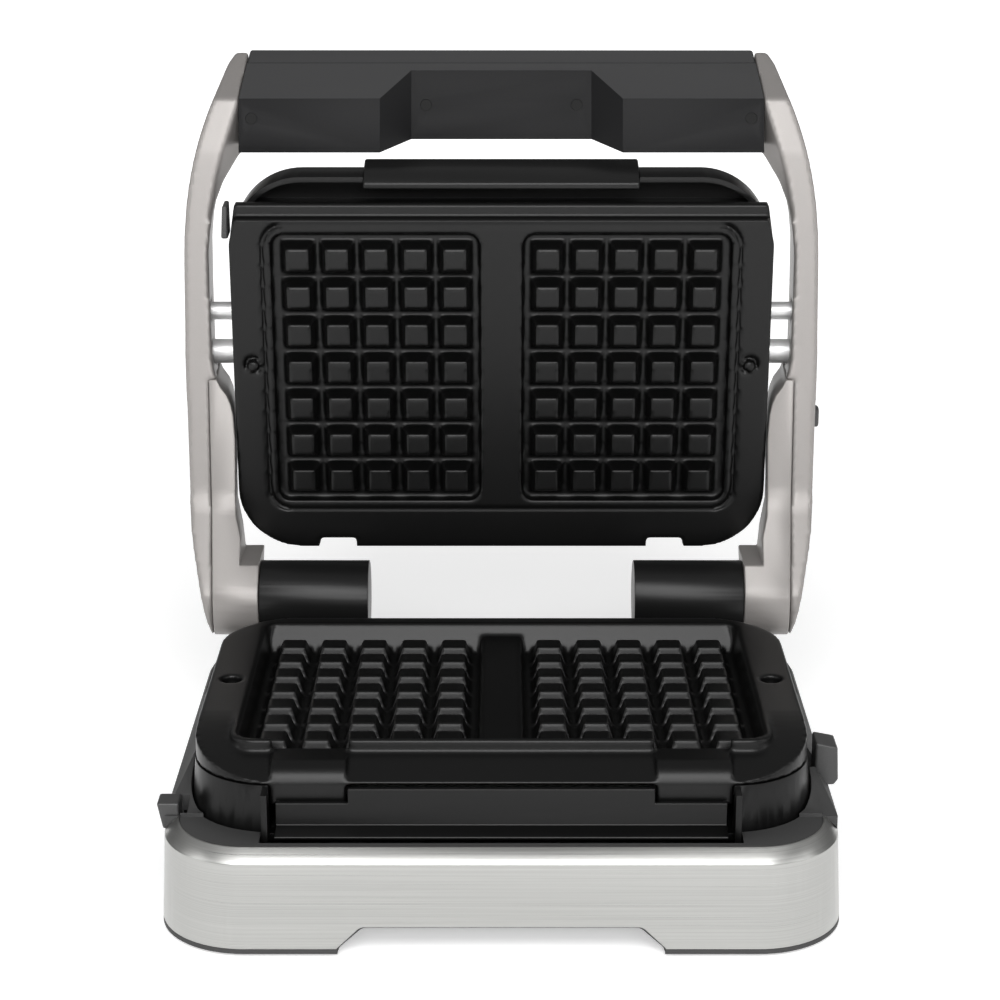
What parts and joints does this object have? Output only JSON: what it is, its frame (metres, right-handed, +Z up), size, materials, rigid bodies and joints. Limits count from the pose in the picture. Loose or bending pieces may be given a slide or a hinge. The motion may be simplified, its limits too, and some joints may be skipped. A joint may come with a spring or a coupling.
{
  "type": "waffle maker",
  "caption": "Open waffle maker: removable square-grid plates, floating lid between grey arms joined by a black handle, steel-fronted base with drip tray.",
  "frame": {"origin": "on the table, under the middle of the open appliance's box", "axes": "+X to the user's right, +Y to the hinge at the rear, +Z up"},
  "size_m": [0.3653, 0.3954, 0.3883],
  "materials": {
    "black_plastic": "satin moulded black plastic",
    "steel": "horizontally brushed stainless steel",
    "arm_silver": "warm light grey satin paint on die-cast aluminium",
    "nonstick": "black non-stick coating with a fine speckle on cast aluminium",
    "rod_chrome": "polished steel",
    "rubber": "matte black rubber",
    "screw_black": "black zinc-plated steel",
    "element_steel": "heat-darkened steel tube",
    "reflector_alu": "plain aluminium sheet",
    "ceramic_white": "unglazed white ceramic",
    "button_grey": "dark grey satin plastic",
    "lens": "frosted light ring",
    "board_green": "green circuit board",
    "panel_gloss": "glossy black panel",
    "terminal_white": "white nylon"
  },
  "bodies": {
    "base": {"base_shell": "black_plastic", "steel_skirt": "steel", "rubber_feet": "rubber", "base_screws": "screw_black", "cord_inlet": "rubber", "terminal_block": "terminal_white", "deck": "black_plastic", "plate_bed": "black_plastic", "lower_reflector": "reflector_alu", "lower_heating_element": "element_steel", "lower_thermostat": "ceramic_white", "hinge_barrel_left": "black_plastic", "hinge_barrel_right": "black_plastic", "hinge_shaft_left": "rod_chrome", "hinge_shaft_right": "rod_chrome"},
    "lower_plate": {"lower_plate": "nonstick"},
    "drip_tray": {"drip_tray": "black_plastic"},
    "release_knob": {"release_knob": "button_grey"},
    "release_tab": {"release_tab": "button_grey"},
    "arms": {"arm_left": "arm_silver", "arm_right": "arm_silver", "arm_cover_left": "arm_silver", "arm_cover_right": "arm_silver", "handle_grip": "black_plastic", "handle_cover": "black_plastic", "handle_screws": "screw_black", "control_panel": "panel_gloss", "indicator_lens": "lens", "control_board": "board_green"},
    "power_button": {"power_button": "button_grey"},
    "menu_button": {"menu_button": "button_grey"},
    "confirm_button": {"confirm_button": "button_grey"},
    "lock_button": {"lock_button": "button_grey"},
    "head": {"upper_housing": "black_plastic", "upper_cover": "black_plastic", "front_tongue": "black_plastic", "pivot_rods": "rod_chrome", "guide_rods": "rod_chrome", "upper_reflector": "reflector_alu", "upper_heating_element": "element_steel", "upper_thermostat": "ceramic_white"},
    "upper_plate": {"upper_plate": "nonstick"},
    "upper_release_tab": {"upper_release_tab": "button_grey"}
  },
  "joints": [
    {"name": "lid_hinge", "type": "hinge", "parent": "base", "child": "arms", "pos_m": [0, 0.0736, 0.0885], "axis": [1, 0, 0], "range_deg": [0, 95.8]},
    {"name": "lid_float", "type": "hinge", "parent": "arms", "child": "head", "pos_m": [0, 0.12588, 0.22144], "axis": [1, 0, 0], "range_deg": [-10.88, 0]},
    {"name": "lower_plate_lift", "type": "slide", "parent": "base", "child": "lower_plate", "axis": [0, 0, -1], "range_m": [-0.04, 0]},
    {"name": "upper_plate_lift", "type": "slide", "parent": "head", "child": "upper_plate", "axis": [0, 0.9961, 0.0882], "range_m": [-0.012, 0]},
    {"name": "drip_tray_slide", "type": "slide", "parent": "base", "child": "drip_tray", "axis": [0, -1, 0], "range_m": [0, 0.06]},
    {"name": "release_knob_press", "type": "slide", "parent": "base", "child": "release_knob", "axis": [-1, 0, 0], "range_m": [0, 0.0025], "stiffness_N_per_m": 600, "springref_m": -0.00125},
    {"name": "release_tab_press", "type": "slide", "parent": "base", "child": "release_tab", "axis": [1, 0, 0], "range_m": [0, 0.0025], "stiffness_N_per_m": 600, "springref_m": -0.00125},
    {"name": "upper_release_press", "type": "slide", "parent": "head", "child": "upper_release_tab", "axis": [1, 0, 0], "range_m": [0, 0.0005], "stiffness_N_per_m": 600, "springref_m": -0.00025},
    {"name": "lock_button_press", "type": "slide", "parent": "arms", "child": "lock_button", "axis": [-1, 0, 0], "range_m": [0, 0.002], "stiffness_N_per_m": 600, "springref_m": -0.001},
    {"name": "power_press", "type": "slide", "parent": "arms", "child": "power_button", "axis": [0, -0.963, -0.2695], "range_m": [0, 0.0008], "stiffness_N_per_m": 900, "springref_m": -0.0004},
    {"name": "menu_press", "type": "slide", "parent": "arms", "child": "menu_button", "axis": [0, -0.963, -0.2695], "range_m": [0, 0.0008], "stiffness_N_per_m": 900, "springref_m": -0.0004},
    {"name": "confirm_press", "type": "slide", "parent": "arms", "child": "confirm_button", "axis": [0, -0.963, -0.2695], "range_m": [0, 0.0008], "stiffness_N_per_m": 900, "springref_m": -0.0004}
  ],
  "couplings": [
    {"joint": "lid_float", "follows": "lid_hinge", "ratio": -0.11336}
  ]
}
